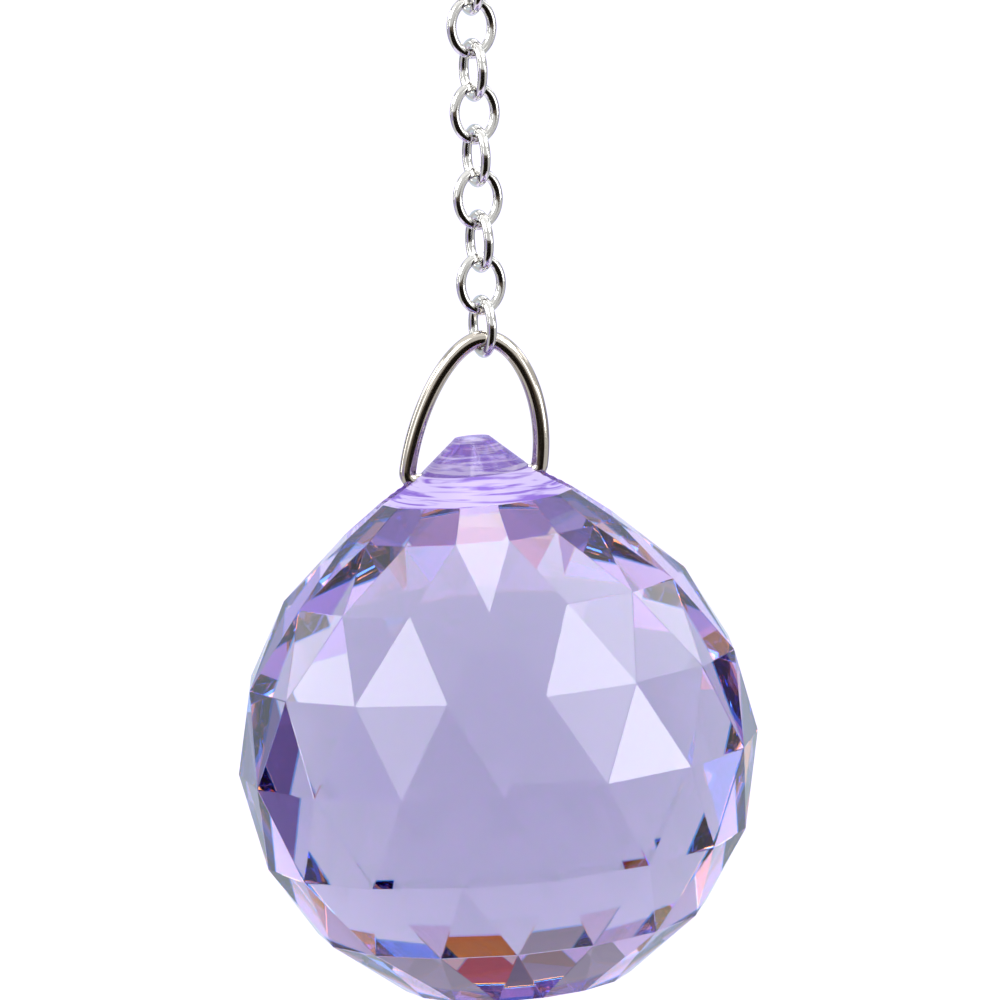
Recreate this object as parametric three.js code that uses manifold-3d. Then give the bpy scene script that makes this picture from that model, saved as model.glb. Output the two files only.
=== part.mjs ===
// A faceted crystal ball that swings on a wire bail, hung from a ring by a short cable chain.
// Millimetres, +Z up. The origin is the inside top of the hanging ring.
import * as THREE from 'three';
import { mergeVertices } from 'three/addons/utils/BufferGeometryUtils.js';
import Module from 'manifold-3d';

// Crystal ball: every facet corner below the shoulder lies on one sphere
const ballRadius = 15;
const facetsRound = 16;
const firstLatitude = 39.7;
const latitudeStep = 20.3;
const sphereRings = 5;
const culetLatitude = -64;

// Drawn-out tip of the ball, drilled across for the bail
const shoulderRadius = 7.8;
const shoulderHeight = 13;
const neckRadius = 5.5;
const neckHeight = 14.75;
const waistRadius = 3.15;
const waistHeight = 16.2;
const tipRadius = 1;
const tipHeight = 18.1;
const boreDiameter = 1.9;
const boreHeight = 15.35;
const boreSides = 20;

// The bail is bent a little askew, so the ball hangs with its tip to the left
const hangTilt = 2.66;
const bailWire = 0.98;
const bailLeftFoot = -3.91;
const bailRightFoot = 3.48;
const bailLean = 12;
const bailRise = 7.91;
const bailBend = 0.56;
const bailLegReach = 4.28;
const bailTopReach = 1.9;
const bailEndGap = 0.3;
const bailSteps = 120;

// Cable chain of oval links, each turned a quarter from the next
const linkCount = 9;
const linkWire = 0.58;
const linkWidth = 3.1;
const linkInnerLength = 2.48;
const chainTurn = 24;
const linkSteps = 24;
const wireSides = 10;
const linkSides = 8;

// Round ring at the top of the chain
const ringInnerDiameter = 6.6;
const ringWire = 0.95;
const ringSteps = 32;

// Play left where one piece of wire rests on another
const restGap = 0.04;

// The ball hangs on the wire by the top of its bore
const wireHeight = boreHeight + (boreDiameter - bailWire) / 2 - restGap;

const wasm = await Module();
wasm.setup();

// Finishes
const lavenderCrystal = { color: 0xb9aee6, roughness: 0.02, metalness: 0, transparent: true, opacity: 0.6 };
const nickelWire = { color: 0x9c958c, roughness: 0.18, metalness: 1 };
const silverWire = { color: 0xd9d9db, roughness: 0.14, metalness: 1 };

function radians(degrees) {
  return THREE.MathUtils.degToRad(degrees);
}

// Corners of the cut ball, ring by ring from the tip down. A shifted ring is turned half a facet.
function ballRings() {
  const rings = [
    { radius: tipRadius, height: tipHeight, shifted: true },
    { radius: waistRadius, height: waistHeight, shifted: true },
    { radius: neckRadius, height: neckHeight, shifted: true },
    { radius: shoulderRadius, height: shoulderHeight, shifted: true },
  ];
  for (let k = 0; k <= sphereRings; k += 1) {
    const latitude = k < sphereRings ? firstLatitude - k * latitudeStep : culetLatitude;
    rings.push({
      radius: ballRadius * Math.cos(radians(latitude)),
      height: ballRadius * Math.sin(radians(latitude)),
      shifted: k % 2 === 1,
    });
  }
  return rings;
}

// Triangles between two rings: trapezoids where the corners line up, zigzag where they are shifted.
function joinRings(upper, lower, first) {
  const faces = [];
  for (let k = 0; k < facetsRound; k += 1) {
    const next = (k + 1) % facetsRound;
    const [up, upNext] = [first + k, first + next];
    const [low, lowNext] = [up + facetsRound, upNext + facetsRound];
    const splitsFromUpperRight = lower.shifted && !upper.shifted;
    if (splitsFromUpperRight) {
      faces.push(up, low, upNext, low, lowNext, upNext);
    } else {
      faces.push(up, low, lowNext, up, lowNext, upNext);
    }
  }
  return faces;
}

function cutBall() {
  const rings = ballRings();
  const corners = [];
  const faces = [];
  rings.forEach((ring, index) => {
    for (let k = 0; k < facetsRound; k += 1) {
      const turn = (2 * Math.PI * (k + (ring.shifted ? 0.5 : 0))) / facetsRound;
      corners.push(ring.radius * Math.sin(turn), -ring.radius * Math.cos(turn), ring.height);
    }
    if (index + 1 < rings.length) {
      faces.push(...joinRings(ring, rings[index + 1], index * facetsRound));
    }
  });
  const lastRing = (rings.length - 1) * facetsRound;
  for (let k = 1; k + 1 < facetsRound; k += 1) {
    faces.push(0, k, k + 1);
    faces.push(lastRing, lastRing + k + 1, lastRing + k);
  }
  const geometry = new THREE.BufferGeometry();
  geometry.setAttribute('position', new THREE.Float32BufferAttribute(corners, 3));
  geometry.setIndex(faces);
  return geometry;
}

function toSolid(geometry) {
  const bare = geometry.clone();
  bare.deleteAttribute('normal');
  bare.deleteAttribute('uv');
  const merged = mergeVertices(bare);
  return new wasm.Manifold(new wasm.Mesh({
    numProp: 3,
    vertProperties: new Float32Array(merged.getAttribute('position').array),
    triVerts: new Uint32Array(merged.getIndex().array),
  }));
}

function toGeometry(solid) {
  const mesh = solid.getMesh();
  const geometry = new THREE.BufferGeometry();
  geometry.setAttribute('position', new THREE.BufferAttribute(mesh.vertProperties, 3));
  geometry.setIndex(new THREE.BufferAttribute(mesh.triVerts, 1));
  geometry.computeVertexNormals();
  return geometry;
}

function drilledBall() {
  const drill = new THREE.CylinderGeometry(boreDiameter / 2, boreDiameter / 2, ballRadius, boreSides);
  drill.rotateZ(Math.PI / 2);
  drill.translate(0, 0, boreHeight);
  return toGeometry(toSolid(cutBall()).subtract(toSolid(drill)));
}

// Round bend of the wire where it turns at a corner
function bendAt(before, corner, after) {
  const into = corner.clone().sub(before).normalize();
  const out = after.clone().sub(corner).normalize();
  const turn = into.angleTo(out);
  const cut = bailBend * Math.tan(turn / 2);
  const pull = (4 / 3) * bailBend * Math.tan(turn / 4);
  return new THREE.CubicBezierCurve3(
    corner.clone().addScaledVector(into, -cut),
    corner.clone().addScaledVector(into, pull - cut),
    corner.clone().addScaledVector(out, cut - pull),
    corner.clone().addScaledVector(out, cut),
  );
}

// One length of wire in the bail's own plane: out of the bore, up one leg, over and back in.
function bailPath() {
  const at = (x, z) => new THREE.Vector3(x, 0, wireHeight + z);
  const upLeg = (foot) => at(
    foot + bailLegReach * Math.sin(radians(bailLean)),
    bailLegReach * Math.cos(radians(bailLean)),
  );
  const topX = (wireHeight + bailRise) * Math.tan(radians(hangTilt));
  const top = at(topX, bailRise);
  const leftEnd = at(-bailEndGap / 2, 0);
  const rightEnd = at(bailEndGap / 2, 0);
  const leftLeg = upLeg(bailLeftFoot);
  const rightLeg = upLeg(bailRightFoot);
  const leftBend = bendAt(leftEnd, at(bailLeftFoot, 0), leftLeg);
  const rightBend = bendAt(rightLeg, at(bailRightFoot, 0), rightEnd);
  const path = new THREE.CurvePath();
  path.add(new THREE.LineCurve3(leftEnd, leftBend.v0));
  path.add(leftBend);
  path.add(new THREE.CubicBezierCurve3(leftBend.v3, leftLeg, at(topX - bailTopReach, bailRise), top));
  path.add(new THREE.CubicBezierCurve3(top, at(topX + bailTopReach, bailRise), rightLeg, rightBend.v0));
  path.add(rightBend);
  path.add(new THREE.LineCurve3(rightBend.v3, rightEnd));
  return path;
}

function roundSection(diameter, sides) {
  const corners = [];
  for (let k = 0; k < sides; k += 1) {
    const turn = (2 * Math.PI * k) / sides;
    corners.push(new THREE.Vector2((diameter / 2) * Math.cos(turn), (diameter / 2) * Math.sin(turn)));
  }
  return new THREE.Shape(corners);
}

function bentBail() {
  return new THREE.ExtrudeGeometry(roundSection(bailWire, wireSides), {
    steps: bailSteps,
    extrudePath: bailPath(),
    bevelEnabled: false,
  });
}

// Centre line of a link, wide along X and long along Z
class OvalLoop extends THREE.Curve {
  getPoint(t, target = new THREE.Vector3()) {
    const turn = 2 * Math.PI * t;
    const halfWidth = (linkWidth - linkWire) / 2;
    const halfLength = (linkInnerLength + linkWire) / 2;
    return target.set(halfWidth * Math.cos(turn), 0, halfLength * Math.sin(turn));
  }
}

function named(name, geometry, finish) {
  const mesh = new THREE.Mesh(geometry, new THREE.MeshStandardMaterial(finish));
  mesh.name = name;
  return mesh;
}

// Heights, worked down from the inside top of the ring to the middle of the ball
const ringRadius = (ringInnerDiameter + ringWire) / 2;
const linkPitch = linkInnerLength - restGap;
const linkReach = (linkInnerLength + linkWire) / 2;
const topLinkHeight = -ringInnerDiameter + restGap + linkWire / 2 - linkReach;
const lowLinkHeight = topLinkHeight - (linkCount - 1) * linkPitch;
const bailTopHeight = lowLinkHeight - linkReach + linkWire / 2 + restGap + bailWire / 2;
const ballHeight = bailTopHeight - (wireHeight + bailRise) / Math.cos(radians(hangTilt));

const hungBall = new THREE.Group();

const hoop = new THREE.TorusGeometry(ringRadius, ringWire / 2, wireSides, ringSteps);
const ring = named('hang_ring', hoop, silverWire);
ring.rotation.x = Math.PI / 2;
ring.position.z = -ringInnerDiameter / 2;
hungBall.add(ring);

// Links are counted from the bail up
for (let k = 1; k <= linkCount; k += 1) {
  const loop = new THREE.TubeGeometry(new OvalLoop(), linkSteps, linkWire / 2, linkSides, true);
  const link = named(`chain_link_${k}`, loop, silverWire);
  link.rotation.z = radians(k % 2 === 0 ? chainTurn : chainTurn - 90);
  link.position.z = lowLinkHeight + (k - 1) * linkPitch;
  hungBall.add(link);
}

const tilted = new THREE.Group();
tilted.rotation.y = radians(-hangTilt);
tilted.position.z = ballHeight;
tilted.add(named('bail', bentBail(), nickelWire));
tilted.add(named('crystal_ball', drilledBall(), lavenderCrystal));
hungBall.add(tilted);

export default hungBall;
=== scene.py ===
import math

import bmesh
import bpy
from mathutils import Matrix, Vector


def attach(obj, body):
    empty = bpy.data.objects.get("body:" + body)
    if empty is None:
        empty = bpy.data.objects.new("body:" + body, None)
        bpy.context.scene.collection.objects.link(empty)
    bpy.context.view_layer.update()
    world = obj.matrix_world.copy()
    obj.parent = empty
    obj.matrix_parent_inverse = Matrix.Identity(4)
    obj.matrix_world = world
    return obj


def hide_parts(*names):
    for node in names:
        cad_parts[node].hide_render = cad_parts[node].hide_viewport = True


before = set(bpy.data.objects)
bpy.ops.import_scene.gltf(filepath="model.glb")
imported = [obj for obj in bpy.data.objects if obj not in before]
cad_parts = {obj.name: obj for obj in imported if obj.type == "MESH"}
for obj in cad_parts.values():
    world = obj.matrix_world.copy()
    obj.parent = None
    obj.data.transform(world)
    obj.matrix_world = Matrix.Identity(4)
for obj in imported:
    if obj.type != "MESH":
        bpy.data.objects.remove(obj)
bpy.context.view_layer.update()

mm = 0.001    # sizes are in mm where no note says otherwise
scene = bpy.context.scene


def toLinear(hexColour):
    parts = [int(hexColour[k:k + 2], 16) / 255 for k in (1, 3, 5)]
    return [c / 12.92 if c <= 0.04045 else ((c + 0.055) / 1.055) ** 2.4 for c in parts] + [1.0]


def addNode(owner, kind, settings=None, links=None):
    # settings fills sockets by name or number and anything else as a property; links joins sockets
    tree = owner.node_tree
    node = tree.nodes.new(kind)
    for key, value in (settings or {}).items():
        if isinstance(key, int) or key in node.inputs:
            node.inputs[key].default_value = value
        else:
            setattr(node, key, value)
    for key, socket in (links or {}).items():
        tree.links.new(socket, node.inputs[key])
    return node


def newMaterial(name):
    material = bpy.data.materials.new(name)
    material.use_nodes = True
    material.node_tree.nodes.clear()
    return material


def asObject(name, form):
    mesh = bpy.data.meshes.new(name)
    form.to_mesh(mesh)
    form.free()
    thing = bpy.data.objects.new(name, mesh)
    scene.collection.objects.link(thing)
    return thing


def addPiece(name, mesh, material, body, node):
    piece = bpy.data.objects.new(name, mesh)
    scene.collection.objects.link(piece)
    mesh.materials.clear()
    mesh.materials.append(material)
    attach(piece, body)
    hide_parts(node)


# Camera: a long lens a little above the middle of the ball, rolled as the photo is
view = {
    "ballMiddle": (0, 0, -51.7355),
    "ballInView": (-0.107, 374.13, -14.283),    # to the right, away from the lens and up
    "pitch": 7.317,    # degrees, as the next two
    "roll": -2.1,
    "turn": 1.145,
    "lens": 234,
    "nearest": 0.01,    # m from the lens that still shows
}
turned = Matrix.Rotation(math.radians(view["roll"]), 3, "Y")
turned = turned @ Matrix.Rotation(math.radians(view["pitch"]), 3, "X")
turned = turned @ Matrix.Rotation(math.radians(view["turn"]), 3, "Z")
toWorld = turned.transposed()
cameraData = bpy.data.cameras.new("camera")
cameraData.lens = view["lens"]
cameraData.clip_start = view["nearest"]
camera = bpy.data.objects.new("camera", cameraData)
scene.collection.objects.link(camera)
right, away, up = (toWorld @ Vector(axis) for axis in ((1, 0, 0), (0, 1, 0), (0, 0, 1)))
placed = Matrix((right, up, -away)).transposed().to_4x4()
placed.translation = (Vector(view["ballMiddle"]) - toWorld @ Vector(view["ballInView"])) * mm
camera.matrix_world = placed
scene.camera = camera
print("camera set")


ball = {
    "radius": 15,    # to every corner below the shoulder
    "facets": 16,
    "latitudes": (39.7, 19.4, -0.9, -21.2, -41.5, -64),    # rings of corners, the last round the culet
    "shoulder": (7.8, 13.0),    # radius and height of the ring above them
    "neck": (5.5, 14.75),    # top of the facets, where the turned tip starts
    "waist": (3.15, 16.2),    # between the collar and the cone
    "tip": (1.0, 18.1),
    "split": 6,    # steps across one facet's width on the turned tip
    "collarRings": 11,
    "collarEnd": 0.97,    # share of the collar that the turning marks cover
    "coneRings": 8,
    "groove": 0.02,    # depth of the turning marks
    "edge": 0.03,    # width of the polished-off edges
    "boreRadius": 0.95,
    "boreHeight": 15.35,
    "boreSides": 48,
    "drillReach": 8,    # either way from the middle, past the neck
    "ground": {"bore": 0.1, "cone": 0.12, "collar": 0.25},    # roughness where the polish ends
    "tilt": 2.66,    # degrees off upright, tip to the left
}

# The ball and the bail hang together on one tilt
hang = Matrix.Translation(Vector(view["ballMiddle"]) * mm)
hang = hang @ Matrix.Rotation(math.radians(-ball["tilt"]), 4, "Y")


def cornerRing(form, radius, height, shifted):
    corners = []
    for k in range(ball["facets"]):
        angle = 2 * math.pi * (k + (0.5 if shifted else 0)) / ball["facets"]
        corners.append(form.verts.new((radius * math.sin(angle), -radius * math.cos(angle), height)))
    return corners


def turnedRing(form, radius, height, flat):
    # a ring of the turned tip, round or with a straight side over each facet
    corners = []
    facet = 2 * math.pi / ball["facets"]
    for k in range(ball["facets"] * ball["split"]):
        angle = facet * (k / ball["split"] + 0.5)
        out = radius
        if flat:
            out *= math.cos(facet / 2) / math.cos(facet * (k % ball["split"] / ball["split"] - 0.5))
        corners.append(form.verts.new((out * math.sin(angle), -out * math.cos(angle), height)))
    return corners


def turnedTip(form):
    # rings from the tip down: the cone, then the collar with its turning marks
    tip, waist, neck = (Vector(ball[ring]) for ring in ("tip", "waist", "neck"))
    rings = []
    for k in range(ball["coneRings"]):
        rings.append(turnedRing(form, *tip.lerp(waist, k / ball["coneRings"]), False))
    slope = (neck - waist).normalized()
    for k in range(ball["collarRings"]):
        mark = Vector((-slope.y, slope.x)) * ball["groove"] * (1 if k % 2 else -1)
        spot = waist.lerp(neck, ball["collarEnd"] * k / ball["collarRings"]) + mark
        rings.append(turnedRing(form, *spot, False))
    rings.append(turnedRing(form, *neck, True))
    around = len(rings[0])
    form.faces.new(rings[0])
    for upper, lower in zip(rings, rings[1:]):
        for k in range(around):
            after = (k + 1) % around
            form.faces.new((upper[k], lower[k], lower[after], upper[after])).smooth = True
    return rings[-1]


def cutBall():
    form = bmesh.new()
    split = ball["split"]
    neck = turnedTip(form)
    turnedEdges = set(form.edges)
    rings = [cornerRing(form, *ball["shoulder"], True)]
    for k, latitude in enumerate(ball["latitudes"]):
        slope = math.radians(latitude)
        size = ball["radius"]
        rings.append(cornerRing(form, size * math.cos(slope), size * math.sin(slope), k % 2 == 1))
    form.faces.new(rings[-1])
    for k in range(ball["facets"]):
        after = (k + 1) % ball["facets"]
        top = [neck[(k * split + step) % len(neck)] for step in range(split + 1)]
        form.faces.new([rings[0][k], rings[0][after]] + top[::-1])    # long flat facets of the neck
        for row, (upper, lower) in enumerate(zip(rings, rings[1:])):    # triangles of the ball
            if row % 2 == 0:
                form.faces.new((upper[k], lower[k], lower[after]))
                form.faces.new((upper[k], lower[after], upper[after]))
            else:
                form.faces.new((upper[k], lower[k], upper[after]))
                form.faces.new((lower[k], lower[after], upper[after]))
    bmesh.ops.recalc_face_normals(form, faces=form.faces)
    facetEdges = [edge for edge in form.edges if edge not in turnedEdges]
    bmesh.ops.bevel(form, geom=facetEdges, offset=ball["edge"], segments=1, affect="EDGES")
    return form


def boreDrill():
    # a rod along the bore's axis
    form = bmesh.new()
    rings = []
    for x in (-ball["drillReach"], ball["drillReach"]):
        ring = []
        for k in range(ball["boreSides"]):
            angle = 2 * math.pi * k / ball["boreSides"]
            y = ball["boreRadius"] * math.cos(angle)
            z = ball["boreRadius"] * math.sin(angle)
            ring.append(form.verts.new((x, y, ball["boreHeight"] + z)))
        rings.append(ring)
    form.faces.new(rings[0])
    form.faces.new(rings[1])
    for k in range(ball["boreSides"]):
        after = (k + 1) % ball["boreSides"]
        form.faces.new((rings[0][k], rings[1][k], rings[1][after], rings[0][after]))
    bmesh.ops.recalc_face_normals(form, faces=form.faces)
    return form


def drilledBall():
    whole = asObject("wholeBall", cutBall())
    drill = asObject("drill", boreDrill())
    cut = whole.modifiers.new("bore", "BOOLEAN")
    cut.object = drill
    cut.operation = "DIFFERENCE"
    cut.solver = "EXACT"
    bpy.context.view_layer.update()
    finished = whole.evaluated_get(bpy.context.evaluated_depsgraph_get())
    mesh = bpy.data.meshes.new_from_object(finished)
    bpy.data.objects.remove(whole)
    bpy.data.objects.remove(drill)
    # faces that are ground keep their roughness; the facets stay polished, at zero
    ground = mesh.attributes.new("ground", "FLOAT", "FACE")
    for face in mesh.polygons:
        middle = face.center
        if math.hypot(middle.y, middle.z - ball["boreHeight"]) < ball["boreRadius"]:
            ground.data[face.index].value = ball["ground"]["bore"]
        elif middle.z > ball["waist"][1]:
            ground.data[face.index].value = ball["ground"]["cone"]
        elif middle.z > ball["neck"][1]:
            ground.data[face.index].value = ball["ground"]["collar"]
    mesh.transform(Matrix.Diagonal((mm, mm, mm, 1)))
    mesh.transform(hang)
    return mesh


# Lead crystal, cut and polished: clear lavender that deepens with its thickness. It bends the blue end of
# light more than the red, so edges seen through it split into colours: half of the light that passes
# through stands for each end. Where it is only ground, a diffuse skin scatters lavender to the eye. Its
# deep purple is partly a painted glow of light that reaches the tip through the ball, and its pale streaks
# are partly scratches and partly painted refraction of the wire and the bore's edges.
crystal = newMaterial("lead crystal, lavender")
glass = {
    "index": 1.56,
    "spread": 0.008,    # each end of the spectrum to either side of the index
    "redEnd": (1.8, 1, 0.2, 1),    # what each half lets through, white when the two are added
    "blueEnd": (0.2, 1, 1.8, 1),
    "lavender": "#a873cd",    # colour that the absorption leaves
    "depth": 32,    # absorption, per metre
    # deep purple of the ground skin, partly a painted glow that stands in for light coming through the ball
    "scratchedAndPaintedGlow": "#9878d4",
    "frosted": "#e4dcf8",
    "streaksWithPaintedRefraction": (260, 260, 4500),    # per metre: about 4 mm long and 0.2 mm high, coarser than real scratches; the pale streaks on the cone are painted refraction of the wire and the bore's edges
    "waver": 0.8,    # how far the streaks bend
    "contrast": 1.2,    # how much the streaks sway the paleness
    "pale": (0.7, 0.86),    # from the deep purple, partly a painted glow, to frosted
    "fullyGround": 0.2,    # roughness from which a face scatters all it can
    "skin": 0.7,    # share of the light that such a face scatters
}
ground = addNode(crystal, "ShaderNodeAttribute", {"attribute_name": "ground"})
redEnd = addNode(crystal, "ShaderNodeBsdfRefraction",
                 {"Color": glass["redEnd"], "IOR": glass["index"] - glass["spread"]},
                 {"Roughness": ground.outputs["Fac"]})
blueEnd = addNode(crystal, "ShaderNodeBsdfRefraction",
                  {"Color": glass["blueEnd"], "IOR": glass["index"] + glass["spread"]},
                  {"Roughness": ground.outputs["Fac"]})
through = addNode(crystal, "ShaderNodeMixShader", {"Fac": 0.5},
                  {1: redEnd.outputs[0], 2: blueEnd.outputs[0]})
mirror = addNode(crystal, "ShaderNodeBsdfGlossy", {"Color": (1, 1, 1, 1)},
                 {"Roughness": ground.outputs["Fac"]})
share = addNode(crystal, "ShaderNodeFresnel", {"IOR": glass["index"]})
polished = addNode(crystal, "ShaderNodeMixShader", {},
                   {"Fac": share.outputs[0], 1: through.outputs[0], 2: mirror.outputs[0]})
place = addNode(crystal, "ShaderNodeTexCoord")
stretched = addNode(crystal, "ShaderNodeMapping", {"Scale": glass["streaksWithPaintedRefraction"]},
                    {"Vector": place.outputs["Object"]})
# streak pattern: partly scratches, partly painted refraction of the wire and the bore's edges
streaksWithPaintedRefraction = addNode(crystal, "ShaderNodeTexNoise", {"Scale": 1.0, "Detail": 3.0, "Distortion": glass["waver"]},
                  {"Vector": stretched.outputs[0]})
swayed = addNode(crystal, "ShaderNodeMath", {"operation": "MULTIPLY_ADD", 1: glass["contrast"]},
                 {0: streaksWithPaintedRefraction.outputs["Fac"], 2: ground.outputs["Fac"]})
pale = addNode(crystal, "ShaderNodeMapRange", {"From Min": glass["pale"][0], "From Max": glass["pale"][1]},
               {"Value": swayed.outputs[0]})
# skin colour: the purple painted glow and the pale frosting, laid out by the streaks
scratchesAndPaintedLight = addNode(crystal, "ShaderNodeMix", {"data_type": "RGBA", 6: toLinear(glass["scratchedAndPaintedGlow"]),
                                               7: toLinear(glass["frosted"])}, {0: pale.outputs[0]})
skin = addNode(crystal, "ShaderNodeBsdfDiffuse", {}, {"Color": scratchesAndPaintedLight.outputs[2]})
skinned = addNode(crystal, "ShaderNodeMapRange", {"From Max": glass["fullyGround"], "To Max": glass["skin"]},
                  {"Value": ground.outputs["Fac"]})
finished = addNode(crystal, "ShaderNodeMixShader", {},
                   {"Fac": skinned.outputs[0], 1: polished.outputs[0], 2: skin.outputs[0]})
tint = addNode(crystal, "ShaderNodeVolumeAbsorption",
               {"Color": toLinear(glass["lavender"]), "Density": glass["depth"]})
addNode(crystal, "ShaderNodeOutputMaterial", {}, {"Surface": finished.outputs[0], "Volume": tint.outputs[0]})

addPiece("cutCrystal", drilledBall(), crystal, "crystal", "crystal_ball")
print("crystal cut and drilled")


def bentWire(name, line, wire, sides, closed):
    # a round wire along a line of points in the XZ plane, with its length and girth kept as UV in mm
    form = bmesh.new()
    wrap = form.loops.layers.uv.new("wire")
    count = len(line)
    girth = math.pi * wire / sides
    rings = []
    run = [0.0]
    for k, point in enumerate(line):
        before = line[k - 1] if closed or k else point
        after = line[(k + 1) % count] if closed or k + 1 < count else point
        along = (after - before).normalized()
        side = Vector((-along.z, 0, along.x))
        ring = []
        for s in range(sides):
            angle = 2 * math.pi * s / sides
            out = math.cos(angle) * side + Vector((0, math.sin(angle), 0))
            ring.append(form.verts.new(point + wire / 2 * out))
        rings.append(ring)
        run.append(run[-1] + (line[(k + 1) % count] - point).length)
    for k in range(count if closed else count - 1):
        upper, lower = rings[k], rings[(k + 1) % count]
        for s in range(sides):
            after = (s + 1) % sides
            face = form.faces.new((upper[s], lower[s], lower[after], upper[after]))
            face.smooth = True
            corners = ((run[k], s), (run[k + 1], s), (run[k + 1], s + 1), (run[k], s + 1))
            for loop, (u, v) in zip(face.loops, corners):
                loop[wrap].uv = (u, v * girth)
    if not closed:
        form.faces.new(rings[0])
        form.faces.new(rings[-1])
    bmesh.ops.recalc_face_normals(form, faces=form.faces)
    mesh = bpy.data.meshes.new(name)
    form.to_mesh(mesh)
    form.free()
    mesh.transform(Matrix.Diagonal((mm, mm, mm, 1)))
    return mesh


bail = {
    "wire": 0.98,
    "height": 15.77,    # of the wire in the bore, which hangs on it by its top
    "feet": (-3.98, 3.64),    # where the legs meet the wire in the bore, with room for the tip to swing
    "lean": 12,    # degrees that both legs tip to the right
    "rise": 7.91,    # from the bore to the top of the bow
    "bend": 0.56,
    "legReach": 4.28,
    "topReach": 1.9,
    "endGap": 0.3,    # between the two cut ends inside the bore
    "endSteps": 12,
    "bendSteps": 14,
    "bowSteps": 60,
    "sides": 28,
    "plate": "#c9c2b8",
    "polish": (0.07, 0.15),    # roughness of the finest and the coarsest lines
    "drawnLines": (0.4, 12, 1),    # per mm: 2.5 mm long and 0.08 mm wide, coarser than real ones
    "lineDepth": 0.02,
    "lineRelief": 0.05,    # share of that depth that shows
}


def bezier(corners, steps):
    # points along a curve of any degree, without its last point
    points = []
    for k in range(steps):
        t = k / steps
        level = list(corners)
        while len(level) > 1:
            level = [a.lerp(b, t) for a, b in zip(level, level[1:])]
        points.append(level[0])
    return points


def bendAt(before, corner, after):
    # corners of the curve that rounds the wire from one straight run into another
    into, out = (corner - before).normalized(), (after - corner).normalized()
    turn = into.angle(out)
    cut = bail["bend"] * math.tan(turn / 2)
    pull = 4 / 3 * bail["bend"] * math.tan(turn / 4)
    return corner - into * cut, corner - into * (cut - pull), corner + out * (cut - pull), corner + out * cut


def bailLine():
    def at(x, z):
        return Vector((x, 0, bail["height"] + z))

    lean = math.radians(bail["lean"])
    topX = (bail["height"] + bail["rise"]) * math.tan(math.radians(ball["tilt"]))
    top = at(topX, bail["rise"])
    leftEnd, rightEnd = at(-bail["endGap"] / 2, 0), at(bail["endGap"] / 2, 0)
    leftFoot, rightFoot = (at(x, 0) for x in bail["feet"])
    upLeg = Vector((math.sin(lean), 0, math.cos(lean))) * bail["legReach"]
    leftBend = bendAt(leftEnd, leftFoot, leftFoot + upLeg)
    rightBend = bendAt(rightFoot + upLeg, rightFoot, rightEnd)
    leftBow = (leftBend[3], leftFoot + upLeg, at(topX - bail["topReach"], bail["rise"]), top)
    rightBow = (top, at(topX + bail["topReach"], bail["rise"]), rightFoot + upLeg, rightBend[0])
    line = bezier((leftEnd, leftBend[0]), bail["endSteps"])
    line += bezier(leftBend, bail["bendSteps"])
    line += bezier(leftBow, bail["bowSteps"])
    line += bezier(rightBow, bail["bowSteps"])
    line += bezier(rightBend, bail["bendSteps"])
    line += bezier((rightBend[3], rightEnd), bail["endSteps"])
    return line + [rightEnd]


# Nickel-plated steel wire: a warm grey mirror, drawn, so fine lines run along it
nickel = newMaterial("nickel-plated wire")
drawn = addNode(nickel, "ShaderNodeUVMap", {"uv_map": "wire"})
stretch = addNode(nickel, "ShaderNodeMapping", {"Scale": bail["drawnLines"]},
                  {"Vector": drawn.outputs["UV"]})
lines = addNode(nickel, "ShaderNodeTexNoise", {"Scale": 1.0, "Detail": 3},
                {"Vector": stretch.outputs["Vector"]})
shine = addNode(nickel, "ShaderNodeMapRange", {"To Min": bail["polish"][0], "To Max": bail["polish"][1]},
                {"Value": lines.outputs["Fac"]})
relief = addNode(nickel, "ShaderNodeBump",
                 {"Strength": bail["lineRelief"], "Distance": bail["lineDepth"] * mm},
                 {"Height": lines.outputs["Fac"]})
metal = addNode(nickel, "ShaderNodeBsdfPrincipled", {"Base Color": toLinear(bail["plate"]), "Metallic": 1.0},
                {"Roughness": shine.outputs["Result"], "Normal": relief.outputs["Normal"]})
addNode(nickel, "ShaderNodeOutputMaterial", {}, {"Surface": metal.outputs[0]})

bailMesh = bentWire("bentBail", bailLine(), bail["wire"], bail["sides"], False)
bailMesh.transform(hang)
addPiece("bentBail", bailMesh, nickel, "hanger", "bail")
print("bail bent")


chain = {
    "links": 9,
    "wire": 0.58,
    "width": 3.1,
    "inside": 2.48,    # clear length in a link
    "lowest": -27.32,    # height of the middle of the link in the bail
    "pitch": 2.44,
    "turn": 24,    # degrees, and every other link a quarter turn from that
    "steps": 72,
    "sides": 20,
    "plate": ("#c9c8c5", "#e6e5e2"),    # darkest and palest patches
    "polish": (0.05, 0.15),    # roughness of the same two
    "patches": 900,    # per metre, so about 1 mm across
}

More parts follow.
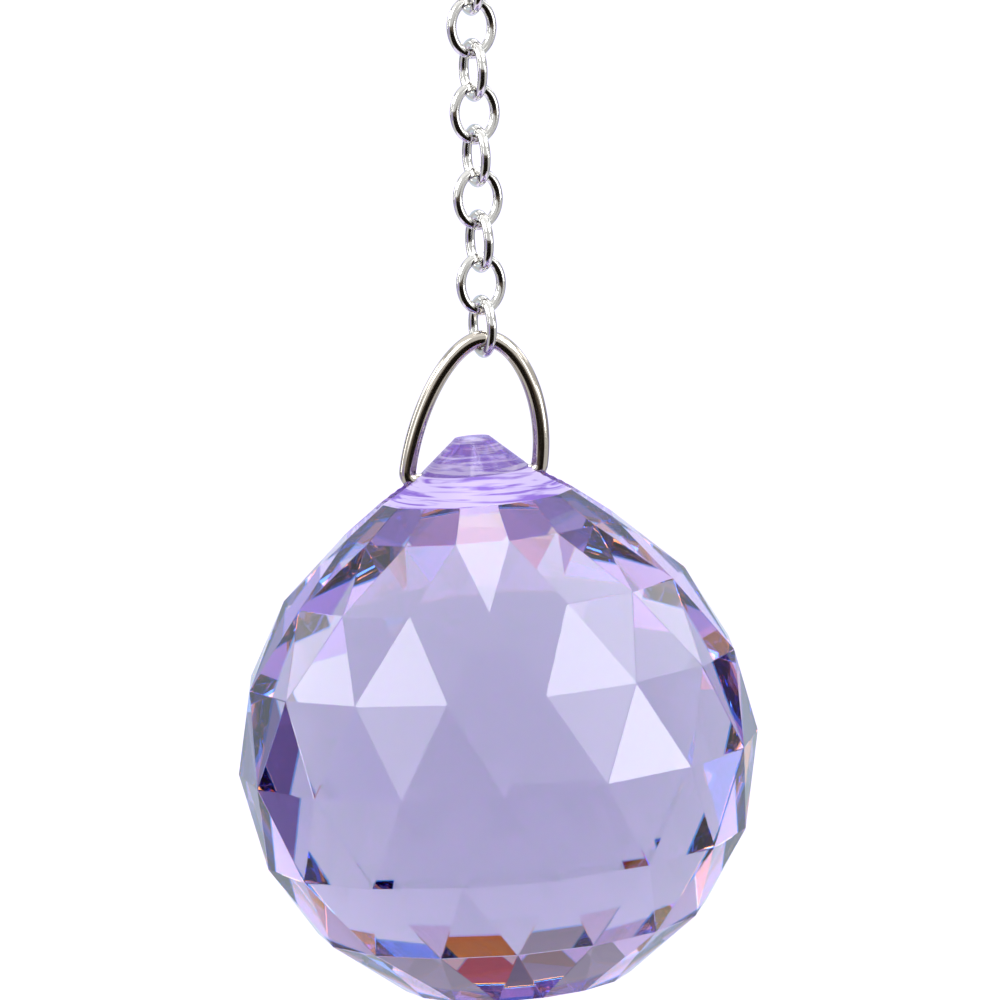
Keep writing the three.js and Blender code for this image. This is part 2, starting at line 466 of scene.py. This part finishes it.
# Silver-plated brass, barrel-polished: the brightest and whitest metal here
silver = newMaterial("silver-plated wire")
place = addNode(silver, "ShaderNodeTexCoord")
patches = addNode(silver, "ShaderNodeTexNoise", {"Scale": chain["patches"], "Detail": 4},
                  {"Vector": place.outputs["Object"]})
gloss = addNode(silver, "ShaderNodeMapRange", {"To Min": chain["polish"][0], "To Max": chain["polish"][1]},
                {"Value": patches.outputs["Fac"]})
shade = addNode(silver, "ShaderNodeMix", {"data_type": "RGBA", 6: toLinear(chain["plate"][0]),
                                          7: toLinear(chain["plate"][1])}, {0: patches.outputs["Fac"]})
plate = addNode(silver, "ShaderNodeBsdfPrincipled", {"Metallic": 1.0},
                {"Base Color": shade.outputs[2], "Roughness": gloss.outputs["Result"]})
addNode(silver, "ShaderNodeOutputMaterial", {}, {"Surface": plate.outputs[0]})


def loopLine(halfWidth, halfLength, height, steps):
    # points round an upright oval
    angles = [2 * math.pi * s / steps for s in range(steps)]
    return [Vector((halfWidth * math.cos(a), 0, halfLength * math.sin(a) + height)) for a in angles]


for k in range(chain["links"]):
    halfWidth = (chain["width"] - chain["wire"]) / 2
    halfLength = (chain["inside"] + chain["wire"]) / 2
    line = loopLine(halfWidth, halfLength, 0, chain["steps"])
    linkMesh = bentWire(f"chainLink{k + 1}", line, chain["wire"], chain["sides"], True)
    turn = chain["turn"] if k % 2 else chain["turn"] - 90
    linkMesh.transform(Matrix.Rotation(math.radians(turn), 4, "Z"))
    linkMesh.transform(Matrix.Translation((0, 0, (chain["lowest"] + k * chain["pitch"]) * mm)))
    addPiece(f"chainLink{k + 1}", linkMesh, silver, "hanger", f"chain_link_{k + 1}")
print("chain linked")


hoop = {"inside": 6.6, "wire": 0.95, "steps": 120, "sides": 28}
hoopRadius = (hoop["inside"] + hoop["wire"]) / 2
hoopLine = loopLine(hoopRadius, hoopRadius, -hoop["inside"] / 2, hoop["steps"])
ringMesh = bentWire("hangingRing", hoopLine, hoop["wire"], hoop["sides"], True)
addPiece("hangingRing", ringMesh, silver, "hanger", "hang_ring")
print("ring closed")


# Studio: pale floor and surround, a plain tent for the metal to mirror, softboxes, and dark cards that give
# the facets their darks
studio = {
    "floor": "#f4f4f4",
    "floorHeight": -1.0,    # m
    "floorRadius": 30,    # m
    "floorSides": 96,
    "surround": "#e8dffb",
    "surroundStrength": 1.6,
    "cardDistance": 1.0,    # m from the ball to the first card
    "cardStep": 0.01,    # m nearer for each later one
    "bounces": 24,    # light crosses the ball many times between the facets
}
paper = newMaterial("matt white paper")
sheetShade = addNode(paper, "ShaderNodeBsdfDiffuse", {"Color": toLinear(studio["floor"])})
addNode(paper, "ShaderNodeOutputMaterial", {}, {"Surface": sheetShade.outputs[0]})
form = bmesh.new()
bmesh.ops.create_circle(form, cap_ends=True, segments=studio["floorSides"], radius=studio["floorRadius"])
floor = asObject("floor", form)
floor.data.materials.append(paper)
floor.location.z = studio["floorHeight"]

surround = bpy.data.worlds.new("surround")
scene.world = surround
surround.use_nodes = True
surround.node_tree.nodes["Background"].inputs["Color"].default_value = toLinear(studio["surround"])
surround.node_tree.nodes["Background"].inputs["Strength"].default_value = studio["surroundStrength"]

# Cards stand round the ball, the later ones in front. Azimuth runs from straight behind to the right, sizes
# are half widths and heights at one metre, and a card shows through the crystal, in mirrors or in both.
cards = [
    # name, azimuth, elevation, half width, half height, colour, strength, shows
    ("tentBack", 0, 0, 1.0, 1.0, "#ffffff", 0.5, "mirrors"),
    ("tentFront", 180, 0, 1.0, 1.0, "#ffffff", 0.8, "mirrors"),
    ("tentLeft", -90, 0, 1.0, 1.0, "#ffffff", 0.7, "mirrors"),
    ("tentRight", 90, 0, 1.0, 1.0, "#ffffff", 0.7, "mirrors"),
    ("tentTop", 0, 90, 1.0, 1.0, "#ffffff", 1.2, "mirrors"),
    ("tentFloor", 0, -90, 1.0, 1.0, "#ffffff", 0.9, "mirrors"),
    ("backdrop", 0, -2, 1.29, 0.83, "#deebf7", 1.0, "both"),
    ("floorBack", 5, -49, 0.5, 0.16, "#eaf2ff", 1.1, "crystal"),
    ("lowDark", 8, -66, 0.5, 0.13, "#cdb4f2", 0.75, "both"),
    ("darkBelow", -133, -76, 0.16, 0.16, "#ffffff", 0.3, "both"),
    ("softboxLeft", -128, 36, 0.28, 0.24, "#ffffff", 7.2, "both"),
    ("glowLeft", -134, 11, 0.12, 0.1, "#ffffff", 2.6, "both"),
    ("softboxRight", 128, 41, 0.26, 0.24, "#ffffff", 8.0, "both"),
    ("glowRight", 97, 43, 0.13, 0.1, "#ffffff", 4.3, "both"),
    ("glowLowRight", 134, 14, 0.13, 0.12, "#ffffff", 3.5, "both"),
    ("overhead", 0, 76, 0.13, 0.32, "#ffffff", 6.5, "both"),
    ("overheadBack", 0, 59, 0.25, 0.22, "#ffffff", 5.0, "both"),
    ("lampRight", 110, 4, 0.14, 0.12, "#ffffff", 8.3, "both"),
    ("stripLeft", -80, 17, 0.08, 0.33, "#ffffff", 6.0, "both"),
    ("glowBackLeft", -56, 23, 0.1, 0.1, "#ffffff", 2.9, "both"),
    ("glowSideRight", 80, 30, 0.1, 0.1, "#ffffff", 2.5, "both"),
    ("glowBackRight", 54, 25, 0.1, 0.08, "#ffffff", 3.5, "both"),
    ("glowHighRight", 74, 62, 0.12, 0.14, "#ffffff", 3.2, "both"),
    ("greyAbove", 0, 41, 1.1, 0.17, "#e8dffb", 0.85, "crystal"),
    ("darkAbove", 3, 42, 0.5, 0.12, "#ffffff", 0.15, "crystal"),
    ("warmAbove", 6, 38.3, 0.08, 0.045, "#cc4e22", 0.75, "crystal"),
    ("darkAboveRight", 18, 36, 0.12, 0.04, "#ffffff", 0.3, "crystal"),
    ("darkAboveLeft", -14, 36, 0.2, 0.05, "#ffffff", 0.35, "crystal"),
    ("darkRight", 53, -3, 0.14, 0.3, "#c4b0ff", 0.3, "both"),
    ("darkFarRight", 78, 0, 0.09, 0.1, "#c4b0ff", 0.15, "both"),
    ("darkLowRight", 66, -24, 0.12, 0.1, "#c4b0ff", 0.45, "both"),
    ("darkLeft", -69, 3, 0.17, 0.2, "#c4b0ff", 0.1, "both"),
    ("greyLeft", -70, -17, 0.23, 0.16, "#c4b0ff", 0.75, "both"),
    ("darkFront", 182, -2, 0.5, 0.34, "#c4b0ff", 0.7, "crystal"),
    ("roomEdge", 180, -30, 1.1, 0.66, "#8c7d6c", 0.5, "mirrors"),
    ("room", 180, -30, 0.9, 0.5, "#6b5a48", 0.05, "mirrors"),
    ("darkSide", -115, -5, 0.2, 0.16, "#c4b0ff", 0.75, "both"),
    ("greyRight", 58, -36, 0.24, 0.12, "#c4b0ff", 1.0, "crystal"),
]
middle = Vector(view["ballMiddle"]) * mm
for order, (name, azimuth, elevation, halfWidth, halfHeight, colour, strength, shows) in enumerate(cards):
    a, e = math.radians(azimuth), math.radians(elevation)
    out = Vector((math.sin(a) * math.cos(e), math.cos(a) * math.cos(e), math.sin(e)))
    distance = studio["cardDistance"] - studio["cardStep"] * order
    across = Vector((math.cos(a), -math.sin(a), 0))
    facing = Matrix((across, across.cross(out), out)).transposed().to_4x4()
    facing.translation = middle + out * distance
    cardMaterial = newMaterial(name)
    glow = addNode(cardMaterial, "ShaderNodeEmission", {"Color": toLinear(colour), "Strength": strength})
    addNode(cardMaterial, "ShaderNodeOutputMaterial", {}, {"Surface": glow.outputs[0]})
    form = bmesh.new()
    bmesh.ops.create_grid(form, x_segments=1, y_segments=1, size=1)
    card = asObject(name, form)
    card.data.materials.append(cardMaterial)
    card.data.transform(Matrix.Diagonal((halfWidth * distance, halfHeight * distance, 1, 1)))
    card.matrix_world = facing
    card.visible_camera = False
    card.visible_shadow = False
    card.visible_diffuse = False
    card.visible_glossy = shows != "crystal"
    card.visible_transmission = shows != "mirrors"

scene.view_settings.view_transform = "Standard"
scene.cycles.max_bounces = studio["bounces"]
scene.cycles.transmission_bounces = studio["bounces"]
scene.cycles.glossy_bounces = studio["bounces"]
print("studio lit")
